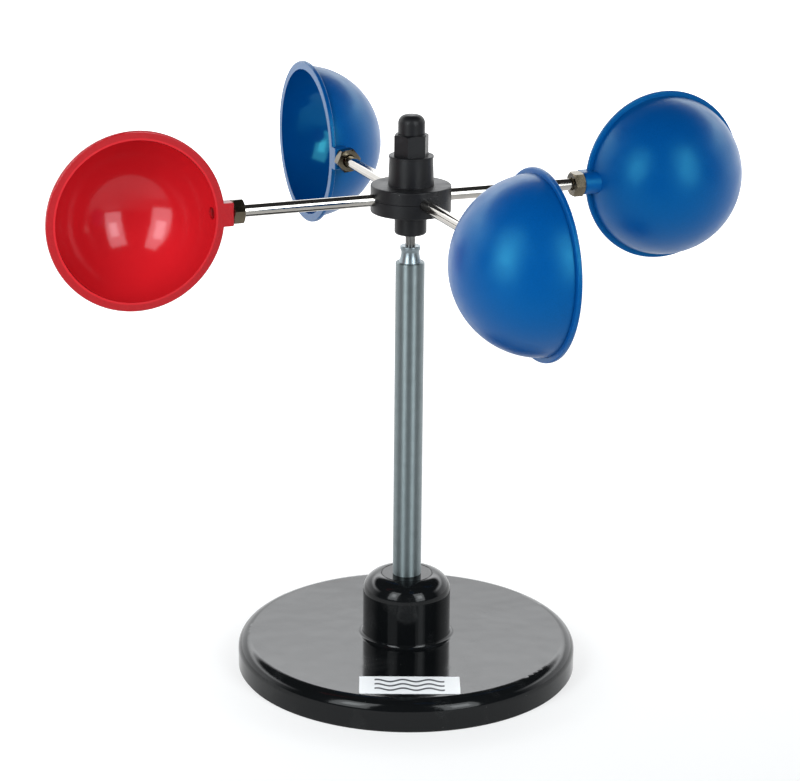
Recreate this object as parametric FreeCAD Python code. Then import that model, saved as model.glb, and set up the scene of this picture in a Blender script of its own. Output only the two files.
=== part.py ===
import FreeCAD, Part
import math
import os

# Four-cup anemometer on a weighted round stand. Millimetres, +Z up.
# Origin: centre of the underside. The arms lie along +X, +Y, -X and -Y.

# Stand
PAD_R, PAD_T = 75.6, 0.8            # foam sheet under the base
BASE_R, BASE_TOP = 76.2, 14.0       # moulded disc
BASE_EDGE_R = 5.6                   # rounding of its upper edge
WALL = 3.0
BOSS_R, BOSS_TOP = 19.7, 43.2       # round boss that holds the post
BOSS_SHOULDER_R, BOSS_FOOT_R = 8.2, 2.0
SOCKET_R, SOCKET_WALL = 11.4, 2.6   # bore for the bushing
SOCKET_ROOF = 34.0
COVER_R, COVER_TOP = 73.1, 2.8      # plate that closes the underside
BALLAST_R_IN, BALLAST_R_OUT, BALLAST_TOP = 24.0, 60.0, 10.8
PILLAR_RING_R, PILLAR_R, SCREW_R = 66.0, 4.0, 1.5
SCREW_HEAD_R, SCREW_TIP_Z = 3.0, 10.0
BUSHING_FLANGE_R, BUSHING_FLANGE_TOP = 15.5, 11.0
BUSHING_BOTTOM, POST_BOTTOM = 8.8, 12.8
POST_R, POST_BORE_R, POST_TOP = 6.35, 4.65, 188.0
PLUG_LENGTH = 20.0
BOLT_R, BOLT_HEAD_AF, BOLT_HEAD_H, BOLT_TIP_Z = 3.0, 10.0, 4.0, 28.0
WASHER_R, WASHER_T = 9.0, 1.6
LABEL_LENGTH, LABEL_WIDTH, LABEL_T = 43.6, 17.4, 0.25
LABEL_OUT, LABEL_SIDE = 58.2, 0.9   # label centre: outward from the axis, and sideways
LABEL_AZIMUTH = -111.0              # degrees from +X to the label

# Pivot
COLLAR_SPIGOT = 16.0                # length plugged into the post
COLLAR_FLARE_R, COLLAR_NECK_R, COLLAR_LIP_R = 5.0, 3.9, 4.4
COLLAR_NECK_Z, COLLAR_LIP_Z, COLLAR_TOP = 192.6, 193.8, 195.2
NEEDLE_R, NEEDLE_BOTTOM = 2.15, 176.0
NEEDLE_CONE_Z, NEEDLE_TIP_Z, NEEDLE_TIP_R = 234.0, 240.3, 0.25
SEAT_R, SEAT_BOTTOM, SEAT_MOUTH_R = 3.5, 236.2, 2.9
SEAT_GAP = 0.15                     # needle tip to bottom of the seat

# Hub
HUB_BOTTOM, HUB_NECK_R = 200.5, 6.95
FLANGE_R, FLANGE_BOTTOM, FLANGE_TOP = 17.4, 210.4, 222.2
ARM_Z = 216.5                       # arm axes and parting plane of the hub
NEEDLE_BORE_R = 2.85                # lets the rotor lean about one degree
STEM_R, STEM_TOP = 5.0, 241.0
TOWER_R_LOW, TOWER_R_HIGH, TOWER_TOP = 9.9, 9.4, 235.0
TOWER_LIP_R, TOWER_LIP_H = 9.7, 0.8
CAP_AF, CAP_HEX_TOP, CAP_TURN = 13.5, 244.3, -2.7
DOME_R, DOME_TOP, DOME_EDGE_R = 5.8, 252.5, 3.6

# Arms and cups
ARM_R, ARM_START, ARM_END = 2.65, 5.8, 88.6
GROOVE_R, GROOVE_START, GROOVE_END = 1.9, 9.0, 12.0
NUT_AF, NUT_START, NUT_END, NUT_COUNTERSINK = 10.0, 76.0, 81.0, 0.5
NUT_TURNS = (4.0, -8.0, 10.0, -3.0)  # degrees, as each nut happened to stop
CUP_CENTRE, CUP_OFFSET = 123.1, 5.0  # along the arm, and arm axis to rim plane
CUP_R_OUT, CUP_R_IN = 35.9, 34.2
RIM_R, RIM_T = 38.0, 2.0
LUG_START, LUG_HALF = 81.0, 5.0      # lug that takes the arm

V = FreeCAD.Vector
UP = V(0, 0, 1)


def cylinder(radius, low, high, x=0.0, y=0.0):
    return Part.makeCylinder(radius, high - low, V(x, y, low))


def ring(inner, outer, low, high):
    return cylinder(outer, low, high).cut(cylinder(inner, low, high))


def along_arm(radius, start, end):
    """Cylinder on the arm axis, which runs along +X."""
    return Part.makeCylinder(radius, end - start, V(start, 0, ARM_Z), V(1, 0, 0))


def turned(points):
    """Solid of revolution about Z from an (r, z) outline."""
    corners = [V(r, 0, z) for r, z in points]
    outline = Part.makePolygon(corners + corners[:1])
    return Part.Face(outline).revolve(V(0, 0, 0), UP, 360)


def circles(shape, z, radius):
    """Circular edges of a shape at one height with one radius."""
    found = []
    for edge in shape.Edges:
        if not isinstance(edge.Curve, Part.Circle):
            continue
        if abs(edge.Curve.Center.z - z) < 1e-4 and abs(edge.Curve.Radius - radius) < 1e-4:
            found.append(edge)
    return found


def fillet(shape, size, z, radius):
    return shape.makeFillet(size, circles(shape, z, radius))


def chamfer(shape, size, z, radius):
    return shape.makeChamfer(size, circles(shape, z, radius))


def spun(shape, degrees):
    """Copy of a shape turned about the vertical axis."""
    copy = shape.copy()
    copy.rotate(V(0, 0, 0), UP, degrees)
    return copy


def hexagon(across_flats, low, high, bevel_low, bevel_high, turn=0.0):
    """Vertical hexagonal bar; a bevelled end has its corners turned away."""
    corner = across_flats / 2 / math.cos(math.radians(30))
    points = []
    for step in range(7):
        angle = math.radians(60 * step + turn)
        points.append(V(corner * math.cos(angle), corner * math.sin(angle), low))
    bar = Part.Face(Part.makePolygon(points)).extrude(V(0, 0, high - low))
    flat = 0.97 * across_flats / 2
    drop = (corner - flat) * math.tan(math.radians(30))
    outline = [(0, low), (flat if bevel_low else corner, low)]
    if bevel_low:
        outline.append((corner, low + drop))
    if bevel_high:
        outline.append((corner, high - drop))
    outline += [(flat if bevel_high else corner, high), (0, high)]
    return bar.common(turned(outline))


def four(make):
    """Solids made at the four quarter turns, kept separate."""
    return Part.makeCompound([spun(make(quarter), 90 * quarter) for quarter in range(4)])


# ---- Stand ---------------------------------------------------------------

def base_shell():
    shell = cylinder(BASE_R, PAD_T, BASE_TOP).fuse(cylinder(BOSS_R, BASE_TOP, BOSS_TOP))
    shell = shell.removeSplitter()
    shell = fillet(shell, BASE_EDGE_R, BASE_TOP, BASE_R)
    shell = fillet(shell, BOSS_FOOT_R, BASE_TOP, BOSS_R)
    shell = fillet(shell, BOSS_SHOULDER_R, BOSS_TOP, BOSS_R)
    roof = BASE_TOP - WALL
    shell = shell.cut(cylinder(BASE_R - WALL, PAD_T, roof))
    shell = shell.cut(ring(SOCKET_R + SOCKET_WALL, BOSS_R - WALL, roof, SOCKET_ROOF))
    shell = shell.cut(cylinder(SOCKET_R, PAD_T, BOSS_TOP))
    shell = shell.fuse(four(lambda quarter: pillar(roof)))
    shell = shell.cut(four(lambda quarter: spun(cover_screw_blank(), 45)))
    return chamfer(shell, 0.3, BOSS_TOP, SOCKET_R)


def pillar(roof):
    return spun(cylinder(PILLAR_R, COVER_TOP, roof + WALL / 2, x=PILLAR_RING_R), 45)


def cover_screw_blank():
    outline = [
        (0, PAD_T), (SCREW_HEAD_R, PAD_T), (SCREW_R, PAD_T + 1.5),
        (SCREW_R, SCREW_TIP_Z - 1.5), (0, SCREW_TIP_Z),
    ]
    screw = turned(outline)
    screw.translate(V(PILLAR_RING_R, 0, 0))
    return screw


def cover_screw(quarter):
    slot = Part.makeBox(4.0, 0.8, 0.9, V(PILLAR_RING_R - 2.0, -0.4, PAD_T))
    cross = Part.makeBox(0.8, 4.0, 0.9, V(PILLAR_RING_R - 0.4, -2.0, PAD_T))
    return spun(cover_screw_blank().cut(slot).cut(cross), 45)


def bottom_cover():
    plate = cylinder(COVER_R, PAD_T, COVER_TOP)
    return plate.cut(four(lambda quarter: spun(cover_screw_blank(), 45)))


def post_bushing():
    bushing = cylinder(SOCKET_R, BUSHING_BOTTOM, BOSS_TOP)
    bushing = bushing.fuse(cylinder(BUSHING_FLANGE_R, BUSHING_BOTTOM, BUSHING_FLANGE_TOP))
    bushing = bushing.cut(cylinder(POST_R, POST_BOTTOM, BOSS_TOP))
    bushing = bushing.cut(cylinder(BOLT_R + 0.2, BUSHING_BOTTOM, POST_BOTTOM))
    return chamfer(bushing.removeSplitter(), 0.3, BOSS_TOP, SOCKET_R)


def post():
    tube = ring(POST_BORE_R, POST_R, POST_BOTTOM, POST_TOP)
    return chamfer(tube, 0.4, POST_TOP, POST_R)


def post_plug():
    top = POST_BOTTOM + PLUG_LENGTH
    plug = cylinder(POST_BORE_R, POST_BOTTOM, top)
    return plug.cut(cylinder(BOLT_R, POST_BOTTOM, BOLT_TIP_Z + 1.0))


def post_bolt():
    neck = BUSHING_BOTTOM - WASHER_T
    head = hexagon(BOLT_HEAD_AF, neck - BOLT_HEAD_H, neck, True, False)
    shank = chamfer(cylinder(BOLT_R, neck, BOLT_TIP_Z), 0.5, BOLT_TIP_Z, BOLT_R)
    return head.fuse(shank)


def label():
    sheet = Part.makeBox(
        LABEL_WIDTH, LABEL_LENGTH, LABEL_T,
        V(LABEL_OUT - LABEL_WIDTH / 2, LABEL_SIDE - LABEL_LENGTH / 2, BASE_TOP),
    )
    corners = [edge for edge in sheet.Edges if abs(edge.tangentAt(edge.FirstParameter).z) > 0.9]
    return spun(sheet.makeFillet(0.6, corners), LABEL_AZIMUTH)


# ---- Pivot ---------------------------------------------------------------

def pivot_collar():
    """Turned spigot with a waisted neck and a lip, bored for the needle."""
    waist_z = (POST_TOP + COLLAR_NECK_Z) / 2
    waist_r = COLLAR_NECK_R + 0.28 * (COLLAR_FLARE_R - COLLAR_NECK_R)
    flare = Part.Arc(
        V(COLLAR_FLARE_R, 0, POST_TOP), V(waist_r, 0, waist_z), V(COLLAR_NECK_R, 0, COLLAR_NECK_Z)
    ).toShape()
    bottom = POST_TOP - COLLAR_SPIGOT
    foot = Part.makePolygon([
        V(0, 0, bottom), V(POST_BORE_R, 0, bottom), V(POST_BORE_R, 0, POST_TOP),
        V(COLLAR_FLARE_R, 0, POST_TOP),
    ])
    head = Part.makePolygon([
        V(COLLAR_NECK_R, 0, COLLAR_NECK_Z), V(COLLAR_LIP_R, 0, COLLAR_LIP_Z),
        V(COLLAR_LIP_R, 0, COLLAR_TOP), V(0, 0, COLLAR_TOP), V(0, 0, bottom),
    ])
    outline = Part.Wire(foot.Edges + [flare] + head.Edges)
    collar = Part.Face(outline).revolve(V(0, 0, 0), UP, 360)
    collar = fillet(collar, 0.35, COLLAR_TOP, COLLAR_LIP_R)
    return collar.cut(cylinder(NEEDLE_R, NEEDLE_BOTTOM, COLLAR_TOP))


def pivot_needle():
    point = NEEDLE_TIP_Z - NEEDLE_TIP_R
    return turned([
        (0, NEEDLE_BOTTOM), (NEEDLE_R, NEEDLE_BOTTOM), (NEEDLE_R, NEEDLE_CONE_Z),
        (NEEDLE_TIP_R, point), (0.6 * NEEDLE_TIP_R, NEEDLE_TIP_Z), (0, NEEDLE_TIP_Z),
    ])


def pivot_seat():
    """Hard bearing in the top of the hub, with a conical seat facing down."""
    apex = NEEDLE_TIP_Z + SEAT_GAP
    cone = turned([(0, SEAT_BOTTOM), (SEAT_MOUTH_R, SEAT_BOTTOM), (NEEDLE_TIP_R, apex), (0, apex)])
    return cylinder(SEAT_R, SEAT_BOTTOM, STEM_TOP).cut(cone)


# ---- Hub -----------------------------------------------------------------

def arm_pockets():
    """Split bores for the arms, narrowed where each arm has its groove."""
    clearance = 0.03
    pocket = along_arm(ARM_R + clearance, ARM_START - 0.2, GROOVE_START)
    pocket = pocket.fuse(along_arm(GROOVE_R + clearance, GROOVE_START, GROOVE_END))
    pocket = pocket.fuse(along_arm(ARM_R + clearance, GROOVE_END, FLANGE_R + 1.0))
    return four(lambda quarter: pocket)


def hub_lower():
    hub = cylinder(HUB_NECK_R, HUB_BOTTOM, FLANGE_BOTTOM)
    hub = hub.fuse(cylinder(FLANGE_R, FLANGE_BOTTOM, ARM_Z)).removeSplitter()
    hub = fillet(hub, 1.2, HUB_BOTTOM, HUB_NECK_R)
    hub = fillet(hub, 0.6, FLANGE_BOTTOM, FLANGE_R)
    hub = fillet(hub, 0.8, FLANGE_BOTTOM, HUB_NECK_R)
    hub = chamfer(hub, 0.15, ARM_Z, FLANGE_R)
    hub = hub.cut(arm_pockets())
    hub = hub.fuse(cylinder(STEM_R, ARM_Z, STEM_TOP))
    hub = hub.cut(cylinder(NEEDLE_BORE_R, HUB_BOTTOM, SEAT_BOTTOM))
    return hub.cut(cylinder(SEAT_R, SEAT_BOTTOM, STEM_TOP))


def hub_upper():
    hub = cylinder(FLANGE_R, ARM_Z, FLANGE_TOP)
    hub = fillet(hub, 0.5, FLANGE_TOP, FLANGE_R)
    hub = chamfer(hub, 0.15, ARM_Z, FLANGE_R)
    lip_z = TOWER_TOP - TOWER_LIP_H
    tower = turned([
        (0, FLANGE_TOP - 1.0), (TOWER_R_LOW, FLANGE_TOP - 1.0), (TOWER_R_LOW, FLANGE_TOP),
        (TOWER_R_HIGH, lip_z), (TOWER_LIP_R, lip_z), (TOWER_LIP_R, TOWER_TOP), (0, TOWER_TOP),
    ])
    hub = hub.fuse(fillet(tower, 0.3, TOWER_TOP, TOWER_LIP_R)).removeSplitter()
    hub = hub.cut(arm_pockets())
    return hub.cut(cylinder(STEM_R + 0.05, ARM_Z, TOWER_TOP))


def hub_cap():
    """Domed nut that draws the two hub halves together on the arms."""
    nut = hexagon(CAP_AF, TOWER_TOP, CAP_HEX_TOP, False, True, CAP_TURN)
    dome = fillet(cylinder(DOME_R, CAP_HEX_TOP - 1.0, DOME_TOP), DOME_EDGE_R, DOME_TOP, DOME_R)
    return nut.fuse(dome).cut(cylinder(STEM_R, TOWER_TOP, STEM_TOP))


# ---- Arms and cups -------------------------------------------------------

def arm():
    rod = along_arm(ARM_R, ARM_START, ARM_END)
    ends = [edge for edge in rod.Edges if isinstance(edge.Curve, Part.Circle)]
    rod = rod.makeChamfer(0.4, ends)
    neck = along_arm(ARM_R + 1.0, GROOVE_START, GROOVE_END)
    return rod.cut(neck.cut(along_arm(GROOVE_R, GROOVE_START, GROOVE_END)))


def lock_nut(quarter):
    nut = hexagon(NUT_AF, NUT_START, NUT_END, True, True, 30.0 + NUT_TURNS[quarter])
    nut = nut.cut(cylinder(ARM_R, NUT_START, NUT_END))
    for face_z in (NUT_START, NUT_END):
        nut = chamfer(nut, NUT_COUNTERSINK, face_z, ARM_R)
    nut.rotate(V(0, 0, 0), V(0, 1, 0), 90)
    nut.translate(V(0, 0, ARM_Z))
    return nut


def lug():
    """D-shaped block round the arm, flush with the rim plane of the cup."""
    length = CUP_CENTRE - LUG_START
    block = Part.makeBox(
        length, CUP_OFFSET, 2 * LUG_HALF, V(LUG_START, 0, ARM_Z - LUG_HALF)
    )
    block = block.fuse(along_arm(LUG_HALF, LUG_START, CUP_CENTRE)).removeSplitter()
    end = [edge for edge in block.Edges if all(abs(v.X - LUG_START) < 1e-6 for v in edge.Vertexes)]
    return block.makeFillet(0.8, end)


def cup():
    """Hemispherical cup with a flat rim, open towards +Y, on the +X arm."""
    centre = V(CUP_CENTRE, CUP_OFFSET, ARM_Z)
    ball = Part.makeSphere(CUP_R_OUT, centre)
    side = 3 * CUP_R_OUT
    front = Part.makeBox(
        side, side, side, V(centre.x - side / 2, centre.y, centre.z - side / 2)
    )
    back = ball.cut(front)
    rim = Part.makeCylinder(RIM_R, RIM_T, centre - V(0, RIM_T, 0), V(0, 1, 0))
    rim = rim.makeFillet(0.6, [edge for edge in rim.Edges if isinstance(edge.Curve, Part.Circle)])
    body = back.fuse(rim).fuse(lug()).removeSplitter()
    body = body.cut(Part.makeSphere(CUP_R_IN, centre))
    return body.cut(along_arm(ARM_R, LUG_START, CUP_CENTRE))


def save(shape, node):
    shape.exportStep("parts/" + node + ".step")


os.makedirs("parts", exist_ok=True)

save(cylinder(PAD_R, 0.0, PAD_T), "base_pad")
save(base_shell(), "base_shell")
save(bottom_cover(), "bottom_cover")
save(four(cover_screw), "cover_screws")
save(ring(BALLAST_R_IN, BALLAST_R_OUT, COVER_TOP, BALLAST_TOP), "ballast_ring")
save(post_bushing(), "post_bushing")
save(post(), "post")
save(post_plug(), "post_plug")
save(ring(BOLT_R + 0.2, WASHER_R, BUSHING_BOTTOM - WASHER_T, BUSHING_BOTTOM), "post_washer")
save(post_bolt(), "post_bolt")
save(label(), "base_label")
save(pivot_collar(), "pivot_collar")
save(pivot_needle(), "pivot_needle")
save(pivot_seat(), "pivot_seat")
save(hub_lower(), "hub_lower")
save(hub_upper(), "hub_upper")
save(hub_cap(), "hub_cap")
save(four(lock_nut), "lock_nuts")

for position, colour in enumerate(("blue_1", "blue_2", "red", "blue_3")):
    save(spun(arm(), 90 * position), "arm_" + colour)
    save(spun(cup(), 90 * position), "cup_" + colour)
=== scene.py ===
import bpy
import math
from mathutils import Matrix, Vector

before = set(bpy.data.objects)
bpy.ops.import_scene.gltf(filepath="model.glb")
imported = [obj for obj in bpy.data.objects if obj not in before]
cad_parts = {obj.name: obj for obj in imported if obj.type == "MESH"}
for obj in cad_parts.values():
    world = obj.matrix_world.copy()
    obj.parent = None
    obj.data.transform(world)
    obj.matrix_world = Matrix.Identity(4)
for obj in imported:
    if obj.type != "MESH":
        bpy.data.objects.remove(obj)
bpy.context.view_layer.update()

MM = 0.001
ROTOR_TURN = math.radians(21.03)                # from the arms' axes to the stand's front

# Shape facts that the materials follow, in metres
ARM_HEIGHT = 216.5 * MM
CUP_ALONG, CUP_ASIDE = 123.1 * MM, 5.0 * MM     # a cup's centre, along and beside its arm
CUP_INSIDE_LIMIT = 35.0 * MM                    # from that centre, within the cup's wall
LABEL_OUT, LABEL_SIDE = 58.2 * MM, 0.9 * MM     # the label's middle, seen from the front

# Studio, in axes whose -Y points at the camera
CAMERA_PLACE = (-0.01431, -1.03163, 0.45849)
CAMERA_HEADING, CAMERA_DOWN, CAMERA_ROLL = 0.58, 17.70, 0.55   # degrees
CAMERA_LENS, CAMERA_SENSOR = 110.6, 36.0                       # mm


# ---- Node helpers ----------------------------------------------------------

def plug(tree, socket, value):
    """Link a node's output to a socket, or set a plain value on it."""
    if isinstance(value, bpy.types.NodeSocket):
        tree.links.new(value, socket)
    else:
        socket.default_value = value


def add(tree, kind, inputs=None, **settings):
    """A shader node with its settings, values and links."""
    node = tree.nodes.new(kind)
    for key, value in settings.items():
        setattr(node, key, value)
    for key, value in (inputs or {}).items():
        plug(tree, node.inputs[key], value)
    return node


def start(name):
    """A new material: itself, its node tree, its surface shader and object coordinates."""
    material = bpy.data.materials.new(name)
    material.use_nodes = True
    tree = material.node_tree
    surface = tree.nodes["Principled BSDF"]
    place = add(tree, "ShaderNodeTexCoord").outputs["Object"]
    return material, tree, surface, place


def stretched(tree, place, scale=(1, 1, 1), turn=(0, 0, 0)):
    node = add(tree, "ShaderNodeMapping", {"Vector": place, "Scale": scale, "Rotation": turn})
    return node.outputs["Vector"]


def noise(tree, place, size, detail=3.0, roughness=0.55):
    """Noise whose blobs are about size metres across."""
    node = add(tree, "ShaderNodeTexNoise", {
        "Vector": place, "Scale": 1.0 / size, "Detail": detail, "Roughness": roughness})
    return node.outputs["Fac"]


def remap(tree, value, low, high, out_low, out_high):
    node = add(tree, "ShaderNodeMapRange", {
        "Value": value, "From Min": low, "From Max": high,
        "To Min": out_low, "To Max": out_high})
    return node.outputs["Result"]


def spread(tree, cloud, low, high):
    """A noise's usual range, 0.3 to 0.7, taken to low and high."""
    return remap(tree, cloud, 0.3, 0.7, low, high)


def maths(tree, operation, first, second=0.0):
    node = add(tree, "ShaderNodeMath", {0: first, 1: second}, operation=operation)
    return node.outputs["Value"]


def vector_maths(tree, operation, output, first, second):
    node = add(tree, "ShaderNodeVectorMath", {0: first, 1: tuple(second)}, operation=operation)
    return node.outputs[output]


def mix(tree, kind, factor, first, second):
    """Mix of Float, Vector or Color sockets, which share names but not identifiers."""
    data_type = {"Float": "FLOAT", "Vector": "VECTOR", "Color": "RGBA"}[kind]
    node = add(tree, "ShaderNodeMix", data_type=data_type)
    values = {"Factor_Float": factor, "A_" + kind: first, "B_" + kind: second}
    for socket in node.inputs:
        if socket.identifier in values:
            plug(tree, socket, values[socket.identifier])
    return next(out for out in node.outputs if out.identifier == "Result_" + kind)


def blend(tree, factor, first, second):
    return mix(tree, "Color", factor, first, second)


def rgba(colour):
    return (*colour, 1.0)


def shade(colour, factor):
    return rgba([min(1.0, channel * factor) for channel in colour])


def relief(tree, height, depth, before=None):
    """Bump of the given depth in metres, on top of an earlier one."""
    inputs = {"Height": height, "Distance": depth, "Strength": 1.0}
    if before is not None:
        inputs["Normal"] = before
    return add(tree, "ShaderNodeBump", inputs).outputs["Normal"]


def coat(tree, surface, colour, roughness, normal):
    """Give the surface shader its colour, roughness and normal."""
    plug(tree, surface.inputs["Base Color"], colour)
    plug(tree, surface.inputs["Roughness"], roughness)
    plug(tree, surface.inputs["Normal"], normal)


# ---- Wear and dust -----------------------------------------------------------

SCRATCH_LENGTH, SCRATCH_WIDTH, SCRATCH_KEEP = 20 * MM, 0.4 * MM, 0.03
SCRATCH_PATCH, SCRATCH_PATCH_EDGE = 18 * MM, (0.56, 0.66)
SCRATCH_TURNS = (0.0, 0.0, 0.6), (0.3, 0.2, -0.9)          # radians, one each way
SCRATCH_PALER, SCRATCH_SHINE, SCRATCH_ROUGHER = 0.05, 1.5, 0.25
SCRATCH_DEPTH = 0.01 * MM

DUST_SIZE, DUST_KEEP, DUST_CLUMP, DUST_CLUMP_EDGE = 2.6 * MM, 0.09, 2.2, (0.60, 0.64)
DUST_COLOUR, DUST_ROUGHER = (0.42, 0.42, 0.40), 0.4


def hairlines(tree, place, turn):
    """Mask of sparse fine scratches running one way."""
    across = 1 / SCRATCH_WIDTH
    run = stretched(tree, place, (1 / SCRATCH_LENGTH, across, across), turn)
    ridge = maths(tree, "ABSOLUTE", maths(tree, "SUBTRACT", noise(tree, run, 1.0, 1.0), 0.5))
    line = remap(tree, ridge, 0.0, SCRATCH_KEEP, 1.0, 0.0)
    patch = remap(tree, noise(tree, place, SCRATCH_PATCH, 2.0), *SCRATCH_PATCH_EDGE, 0.0, 1.0)
    return maths(tree, "MULTIPLY", line, patch)


def specks(tree, place):
    """Mask of sparse round specks of dust."""
    cells = add(tree, "ShaderNodeTexVoronoi", {"Vector": place, "Scale": 1.0 / DUST_SIZE})
    near = remap(tree, cells.outputs["Distance"], 0.0, DUST_KEEP, 1.0, 0.0)
    clump = noise(tree, place, DUST_SIZE * DUST_CLUMP, 1.0)
    return maths(tree, "MULTIPLY", near, remap(tree, clump, *DUST_CLUMP_EDGE, 0.0, 1.0))


# ---- Materials ---------------------------------------------------------------

CLOUD_SIZE, GLOSS_SIZE = 22 * MM, 7 * MM        # slow changes of colour and of gloss

CUP_GLOSS, CUP_VARIATION, CUP_SPECULAR = (0.35, 0.05), 0.03, 0.40
CUP_GRAIN, CUP_PEEL = (0.45 * MM, 0.005 * MM), (9 * MM, 0.05 * MM)
CUP_FLECK, CUP_FLECK_SHARE, CUP_FLECK_SHADE = 0.6 * MM, 0.5, 1.3
POLISH_EDGE = 0.1 * MM                          # each side of the wall's middle
POLISH_RIM = (-0.15 * MM, -0.05 * MM)           # up to the open face
POLISH_SIZE, POLISH_GLOSS = 5 * MM, (0.10, 0.15)
POLISH_RIPPLE, POLISH_RIPPLE_DEPTH = 6 * MM, 0.012 * MM

TARNISH_SIZE, TARNISH_EDGE = 5 * MM, (0.42, 0.72)
TARNISH_SHADE, TARNISH_ROUGHER = 0.35, 0.3
BRUSHED_ROUND = 0.25                            # a quarter turn from the shader's own way

LABEL_LINES = (-4.4 * MM, 0.0, 4.4 * MM)
LABEL_WAVE, LABEL_WAVE_RATE = 1.1 * MM, 560.0   # height, and radians a metre
LABEL_LINE_EDGE = (0.75 * MM, 0.90 * MM)        # from the middle of a line
LABEL_LINE_END = (15.0 * MM, 15.3 * MM)         # from the middle of the label
LABEL_INK = (0.06, 0.065, 0.07)
LABEL_WHITE, LABEL_WHITER = (0.80, 0.81, 0.82), (0.88, 0.885, 0.89)
LABEL_GLOSS, LABEL_FIBRE, LABEL_FIBRE_DEPTH = (0.34, 0.48), 0.5 * MM, 0.004 * MM


def moulding(tree, place, colour, gloss, grain, peel, wear, variation, dust):
    """Moulded plastic's colour, roughness and normal.

    gloss is (roughness, spread); grain and peel are (size, depth).
    """
    cloud = noise(tree, place, CLOUD_SIZE)
    base = blend(tree, cloud, shade(colour, 1 - variation), shade(colour, 1 + variation))
    roughness = spread(tree, noise(tree, place, GLOSS_SIZE, 4.0),
                       gloss[0] - gloss[1], gloss[0] + gloss[1])
    normal = relief(tree, noise(tree, place, peel[0], 2.0), peel[1])
    normal = relief(tree, noise(tree, place, grain[0], 2.0), grain[1], normal)
    if wear > 0:
        one_way, other_way = [hairlines(tree, place, turn) for turn in SCRATCH_TURNS]
        marks = maths(tree, "MULTIPLY", maths(tree, "MAXIMUM", one_way, other_way), wear)
        scratched = shade([channel + SCRATCH_PALER for channel in colour], SCRATCH_SHINE)
        base = blend(tree, marks, base, scratched)
        rougher = maths(tree, "MULTIPLY", marks, SCRATCH_ROUGHER)
        roughness = maths(tree, "ADD", roughness, rougher)
        normal = relief(tree, maths(tree, "MULTIPLY", marks, -1.0), SCRATCH_DEPTH, normal)
    if dust > 0:
        motes = maths(tree, "MULTIPLY", specks(tree, place), dust)
        base = blend(tree, motes, base, rgba(DUST_COLOUR))
        roughness = maths(tree, "ADD", roughness, maths(tree, "MULTIPLY", motes, DUST_ROUGHER))
    return base, roughness, normal


def moulded(name, colour, specular, **finish):
    """Moulded plastic, the same all over."""
    material, tree, surface, place = start(name)
    coat(tree, surface, *moulding(tree, place, colour, **finish))
    surface.inputs["Specular IOR Level"].default_value = specular
    return material


def cup_plastic(name, colour, inside_lit_colour, tint, quarter):
    """Moulded cup: finely textured outside, glossier inside and on the rim's face. The inside
    colour is painted lighter than the outside's, painted light standing in for the light that
    falls inside the cup.
    """
    material, tree, surface, place = start(name)
    skin, outer, textured = moulding(
        tree, place, colour, CUP_GLOSS, CUP_GRAIN, CUP_PEEL, wear=0.0,
        variation=CUP_VARIATION, dust=0.0)
    turn = Matrix.Rotation(quarter * math.pi / 2, 3, "Z")
    centre = turn @ Vector((CUP_ALONG, CUP_ASIDE, ARM_HEIGHT))
    away = vector_maths(tree, "DISTANCE", "Value", place, centre)
    inside = remap(tree, away, CUP_INSIDE_LIMIT - POLISH_EDGE,
                   CUP_INSIDE_LIMIT + POLISH_EDGE, 1.0, 0.0)
    reach = vector_maths(tree, "SUBTRACT", "Vector", place, centre)
    ahead = vector_maths(tree, "DOT_PRODUCT", "Value", reach, turn @ Vector((0, 1, 0)))
    rim_face = remap(tree, ahead, *POLISH_RIM, 0.0, 1.0)
    polished = maths(tree, "MAXIMUM", inside, rim_face)

    fleck = spread(tree, noise(tree, place, CUP_FLECK, 2.0), 0.0, 1.0)
    fleck = maths(tree, "MULTIPLY", fleck, CUP_FLECK_SHARE)
    skin = blend(tree, fleck, skin, shade(colour, CUP_FLECK_SHADE))
    # Painted light: the inside takes a lighter colour than the outside, though the plastic is
    # one colour.
    inside_painted_light = blend(tree, noise(tree, place, CLOUD_SIZE),
                 shade(inside_lit_colour, 0.94), shade(inside_lit_colour, 1.06))
    inner = spread(tree, noise(tree, place, POLISH_SIZE), *POLISH_GLOSS)
    smooth = relief(tree, noise(tree, place, POLISH_RIPPLE, 2.0), POLISH_RIPPLE_DEPTH)
    coat(tree, surface, blend(tree, inside, skin, inside_painted_light),
         mix(tree, "Float", polished, outer, inner),
         mix(tree, "Vector", polished, textured, smooth))
    surface.inputs["Specular IOR Level"].default_value = CUP_SPECULAR
    surface.inputs["Specular Tint"].default_value = rgba(tint)
    return material


def metal(name, colour, gloss, lines, stain, depth=0.002 * MM, metallic=1.0, brushed=0.0):
    """Worked metal. gloss is (roughness, spread), lines its tool marks' size in X, Y and Z."""
    material, tree, surface, place = start(name)
    marks = noise(tree, stretched(tree, place, tuple(1.0 / size for size in lines)),
                  1.0, 4.0, 0.65)
    tarnish = remap(tree, noise(tree, place, TARNISH_SIZE, 4.0), *TARNISH_EDGE, 0.0, stain)
    base = blend(tree, marks, shade(colour, 0.90), shade(colour, 1.08))
    base = blend(tree, tarnish, base, shade(colour, TARNISH_SHADE))
    roughness = spread(tree, marks, gloss[0] - gloss[1], gloss[0] + gloss[1])
    rougher = maths(tree, "MULTIPLY", tarnish, TARNISH_ROUGHER)
    coat(tree, surface, base, maths(tree, "ADD", roughness, rougher),
         relief(tree, marks, depth))
    surface.inputs["Metallic"].default_value = metallic
    surface.inputs["Anisotropic"].default_value = brushed
    surface.inputs["Anisotropic Rotation"].default_value = BRUSHED_ROUND
    return material


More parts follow.
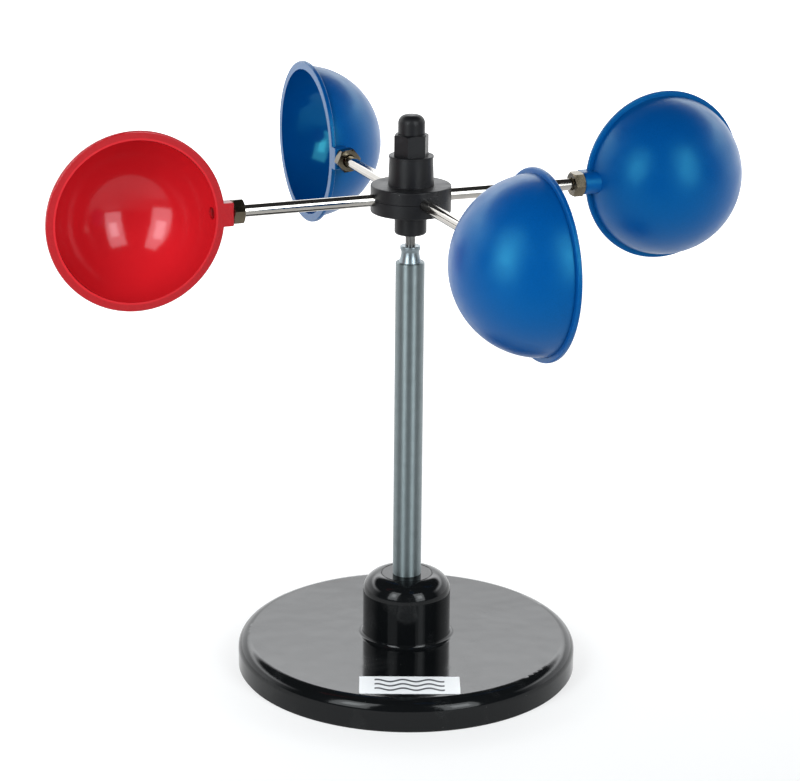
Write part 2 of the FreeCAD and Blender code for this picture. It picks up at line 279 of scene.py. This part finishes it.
def sticker(name):
    """White vinyl with three plain wavy lines."""
    material, tree, surface, place = start(name)
    flat = stretched(tree, place, turn=(0, 0, math.pi / 2 + ROTOR_TURN))
    split = add(tree, "ShaderNodeSeparateXYZ", {"Vector": flat})
    out = maths(tree, "SUBTRACT", split.outputs["X"], LABEL_OUT)
    side = maths(tree, "SUBTRACT", split.outputs["Y"], LABEL_SIDE)
    phase = maths(tree, "MULTIPLY", side, LABEL_WAVE_RATE)
    wave = maths(tree, "MULTIPLY", maths(tree, "SINE", phase), LABEL_WAVE)
    level = maths(tree, "SUBTRACT", out, wave)
    gaps = [maths(tree, "ABSOLUTE", maths(tree, "SUBTRACT", level, line))
            for line in LABEL_LINES]
    nearest = maths(tree, "MINIMUM", maths(tree, "MINIMUM", gaps[0], gaps[1]), gaps[2])
    ink = remap(tree, nearest, *LABEL_LINE_EDGE, 1.0, 0.0)
    ends = remap(tree, maths(tree, "ABSOLUTE", side), *LABEL_LINE_END, 1.0, 0.0)
    fibre = noise(tree, place, LABEL_FIBRE, 4.0)
    white = blend(tree, fibre, rgba(LABEL_WHITE), rgba(LABEL_WHITER))
    coat(tree, surface, blend(tree, maths(tree, "MULTIPLY", ink, ends), white, rgba(LABEL_INK)),
         spread(tree, fibre, *LABEL_GLOSS), relief(tree, fibre, LABEL_FIBRE_DEPTH))
    return material


# ---- Finishes ----------------------------------------------------------------

# Each cup's inside colour is painted lighter than its outside colour: painted light, as the
# plastic is one colour throughout.
BLUE, BLUE_INSIDE_LIT, BLUE_TINT = (0.0, 0.051, 0.210), (0.0, 0.062, 0.245), (0.12, 0.90, 1.0)
RED, RED_INSIDE_LIT, RED_TINT = (0.30, 0.005, 0.008), (0.46, 0.009, 0.014), (1.0, 0.75, 0.80)
NICKEL = (0.42, 0.40, 0.37)
ROD_GLOSS, ROD_STAIN, ROD_ALONG, ROD_ACROSS = (0.10, 0.03), 0.12, 12 * MM, 0.25 * MM

base_black = moulded(
    "base_gloss_black", (0.004, 0.0045, 0.005), specular=0.21, gloss=(0.10, 0.03),
    grain=(0.9 * MM, 0.0012 * MM), peel=(26 * MM, 0.16 * MM),
    wear=0.20, variation=0.20, dust=0.30)
hub_black = moulded(
    "hub_matt_black", (0.006, 0.006, 0.007), specular=0.22, gloss=(0.40, 0.07),
    grain=(0.40 * MM, 0.014 * MM), peel=(5 * MM, 0.02 * MM),
    wear=0.50, variation=0.35, dust=0.50)
pad_black = moulded(
    "pad_foam_black", (0.02, 0.02, 0.02), specular=0.35, gloss=(0.85, 0.08),
    grain=(0.6 * MM, 0.05 * MM), peel=(3 * MM, 0.05 * MM),
    wear=0.0, variation=0.30, dust=0.0)

satin_post = metal(
    "post_satin_grey", (0.185, 0.220, 0.228), gloss=(0.47, 0.03),
    lines=(0.5 * MM, 0.5 * MM, 0.9 * MM), stain=0.12, depth=0.008 * MM,
    metallic=0.9, brushed=0.86)
chrome = metal(
    "collar_bright", (0.22, 0.26, 0.28), gloss=(0.32, 0.05),
    lines=(9 * MM, 9 * MM, 0.12 * MM), stain=0.15)
needle_steel = metal(
    "needle_dark_steel", (0.20, 0.20, 0.195), gloss=(0.22, 0.05),
    lines=(0.2 * MM, 0.2 * MM, 6 * MM), stain=0.4)
rod_x = metal(
    "rod_nickel_x", NICKEL, ROD_GLOSS, lines=(ROD_ALONG, ROD_ACROSS, ROD_ACROSS),
    stain=ROD_STAIN)
rod_y = metal(
    "rod_nickel_y", NICKEL, ROD_GLOSS, lines=(ROD_ACROSS, ROD_ALONG, ROD_ACROSS),
    stain=ROD_STAIN)
nut_zinc = metal(
    "nut_yellow_zinc", (0.13, 0.110, 0.078), gloss=(0.17, 0.06),
    lines=(0.8 * MM, 0.8 * MM, 0.8 * MM), stain=0.5, depth=0.006 * MM)
inner_steel = metal(
    "fastener_zinc", (0.55, 0.55, 0.52), gloss=(0.35, 0.08),
    lines=(0.8 * MM, 0.8 * MM, 0.8 * MM), stain=0.3)
iron = metal(
    "ballast_iron", (0.10, 0.10, 0.10), gloss=(0.6, 0.1),
    lines=(2 * MM, 2 * MM, 2 * MM), stain=0.5, depth=0.03 * MM)
brass = metal(
    "seat_brass", (0.70, 0.50, 0.20), gloss=(0.25, 0.05),
    lines=(9 * MM, 9 * MM, 0.2 * MM), stain=0.2)

finishes = {
    "base_pad": pad_black, "base_shell": base_black, "bottom_cover": pad_black,
    "cover_screws": inner_steel, "ballast_ring": iron, "post_bushing": base_black,
    "post": satin_post, "post_plug": inner_steel, "post_washer": inner_steel,
    "post_bolt": inner_steel, "base_label": sticker("label_print"), "pivot_collar": chrome,
    "pivot_needle": needle_steel, "pivot_seat": brass, "hub_lower": hub_black,
    "hub_upper": hub_black, "hub_cap": hub_black, "lock_nuts": nut_zinc,
    "arm_blue_1": rod_x, "arm_blue_2": rod_y, "arm_red": rod_x, "arm_blue_3": rod_y,
    "cup_blue_1": cup_plastic("cup_plastic_blue_1", BLUE, BLUE_INSIDE_LIT, BLUE_TINT, 0),
    "cup_blue_2": cup_plastic("cup_plastic_blue_2", BLUE, BLUE_INSIDE_LIT, BLUE_TINT, 1),
    "cup_red": cup_plastic("cup_plastic_red", RED, RED_INSIDE_LIT, RED_TINT, 2),
    "cup_blue_3": cup_plastic("cup_plastic_blue_3", BLUE, BLUE_INSIDE_LIT, BLUE_TINT, 3),
}
for node, finish in finishes.items():
    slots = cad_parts[node].data.materials
    slots.clear()
    slots.append(finish)


# ---- Studio lights -----------------------------------------------------------

LIGHT_AIM = (0.0, 0.0, 0.20)
DAYLIGHT = (0.93, 0.98, 1.0)
ROTOR_MIDDLE = 0.21                             # height that around() measures from

BACKDROP_COLOUR = (0.97, 0.985, 1.0)
BACKDROP_SIDE = (-0.15, 0.25)                   # how far round it reaches
BACKDROP_TOP = (0.46, 0.56)                     # sine of its upper edge's elevation
CREST, CREST_LIGHT = (0.34, 0.46), (1.8, 5.2)   # it brightens towards that edge
ROOM_LIGHT = 0.05


def studio(place):
    """A place or direction in studio axes, turned into the row's."""
    return Matrix.Rotation(-ROTOR_TURN, 3, "Z") @ Vector(place)


def put(name, data):
    """A new object in the scene."""
    thing = bpy.data.objects.new(name, data)
    bpy.context.scene.collection.objects.link(thing)
    return thing


def softbox(name, place, width, height, power):
    """A soft lamp at a studio place, aimed at the rotor."""
    light = bpy.data.lights.new(name, "AREA")
    light.shape, light.size, light.size_y = "RECTANGLE", width, height
    light.energy, light.color = power, DAYLIGHT
    lamp = put(name, light)
    start_at, end_at = studio(place), studio(LIGHT_AIM)
    lamp.location = start_at
    lamp.rotation_euler = (end_at - start_at).to_track_quat("-Z", "Y").to_euler()


def around(azimuth, elevation, distance):
    """Studio place seen from the rotor; azimuth 0 is toward the camera."""
    a, e = math.radians(azimuth), math.radians(elevation)
    return (
        distance * math.sin(a) * math.cos(e),
        -distance * math.cos(a) * math.cos(e),
        ROTOR_MIDDLE + distance * math.sin(e),
    )


softbox("softbox_left", (-0.364, -0.479, 0.42), width=0.30, height=0.62, power=3.1)
softbox("softbox_left_core", (-0.360, -0.473, 0.418), width=0.14, height=0.24, power=0.7)
softbox("softbox_right", around(36, 21, 1.80), width=0.80, height=1.60, power=21.0)
softbox("softbox_right_core", around(37, 21, 1.78), width=0.38, height=0.60, power=4.6)

BEHIND = studio((0, 1, 0))
world = bpy.data.worlds.new("white_studio")
bpy.context.scene.world = world
world.use_nodes = True
sky = world.node_tree
toward = add(sky, "ShaderNodeTexCoord").outputs["Generated"]
behind = vector_maths(sky, "DOT_PRODUCT", "Value", toward, BEHIND)
above = add(sky, "ShaderNodeSeparateXYZ", {"Vector": toward}).outputs["Z"]
backdrop = maths(sky, "MULTIPLY", remap(sky, behind, *BACKDROP_SIDE, 0.0, 1.0),
                 remap(sky, above, *BACKDROP_TOP, 1.0, 0.0))
backdrop = maths(sky, "MULTIPLY", backdrop, remap(sky, above, *CREST, *CREST_LIGHT))
background = sky.nodes["Background"]
plug(sky, background.inputs["Strength"], maths(sky, "ADD", backdrop, ROOM_LIGHT))
plug(sky, background.inputs["Color"], rgba(BACKDROP_COLOUR))


# ---- Floor and camera --------------------------------------------------------

FLOOR_RADIUS, FLOOR_SIDES = 6.0, 96
FLOOR_CLOUD, FLOOR_PALE, FLOOR_PALER = 0.3, (0.34, 0.34, 0.34), (0.37, 0.37, 0.37)
FLOOR_ROUGHNESS = 0.8
FLOOR_GLOW_REACH, FLOOR_GLOW = (-0.75, 1.3), (0.10, 1.6)   # painted light: the floor glows, faint in front of the rotor and bright behind it; reach in metres behind the rotor

edge = []
for side in range(FLOOR_SIDES):
    angle = 2 * math.pi * side / FLOOR_SIDES
    edge.append((FLOOR_RADIUS * math.cos(angle), FLOOR_RADIUS * math.sin(angle), 0.0))
floor_mesh = bpy.data.meshes.new("studio_floor")
floor_mesh.from_pydata(edge, [], [list(range(FLOOR_SIDES))])
floor = put("studio_floor", floor_mesh)

pale, pale_tree, pale_surface, pale_place = start("studio_floor_pale")
pale_colour = blend(pale_tree, noise(pale_tree, pale_place, FLOOR_CLOUD),
                    rgba(FLOOR_PALE), rgba(FLOOR_PALER))
# Painted light: the floor's emission grows with distance behind the rotor, so it glows
# unevenly.
depth = vector_maths(pale_tree, "DOT_PRODUCT", "Value", pale_place, BEHIND)
glow = remap(pale_tree, depth, *FLOOR_GLOW_REACH, *FLOOR_GLOW)
plug(pale_tree, pale_surface.inputs["Base Color"], pale_colour)
plug(pale_tree, pale_surface.inputs["Roughness"], FLOOR_ROUGHNESS)
plug(pale_tree, pale_surface.inputs["Emission Color"], (1.0, 1.0, 1.0, 1.0))
plug(pale_tree, pale_surface.inputs["Emission Strength"], glow)
floor_mesh.materials.append(pale)

camera_data = bpy.data.cameras.new("photo_camera")
camera_data.lens, camera_data.sensor_width = CAMERA_LENS, CAMERA_SENSOR
camera_data.dof.use_dof = False
camera = put("photo_camera", camera_data)
heading = Matrix.Rotation(-math.radians(CAMERA_HEADING) - ROTOR_TURN, 4, "Z")
pitch = Matrix.Rotation(math.radians(90 - CAMERA_DOWN), 4, "X")
roll = Matrix.Rotation(math.radians(CAMERA_ROLL), 4, "Z")
camera.matrix_world = Matrix.Translation(studio(CAMERA_PLACE)) @ heading @ pitch @ roll
bpy.context.scene.camera = camera
bpy.context.scene.view_settings.view_transform = "Standard"
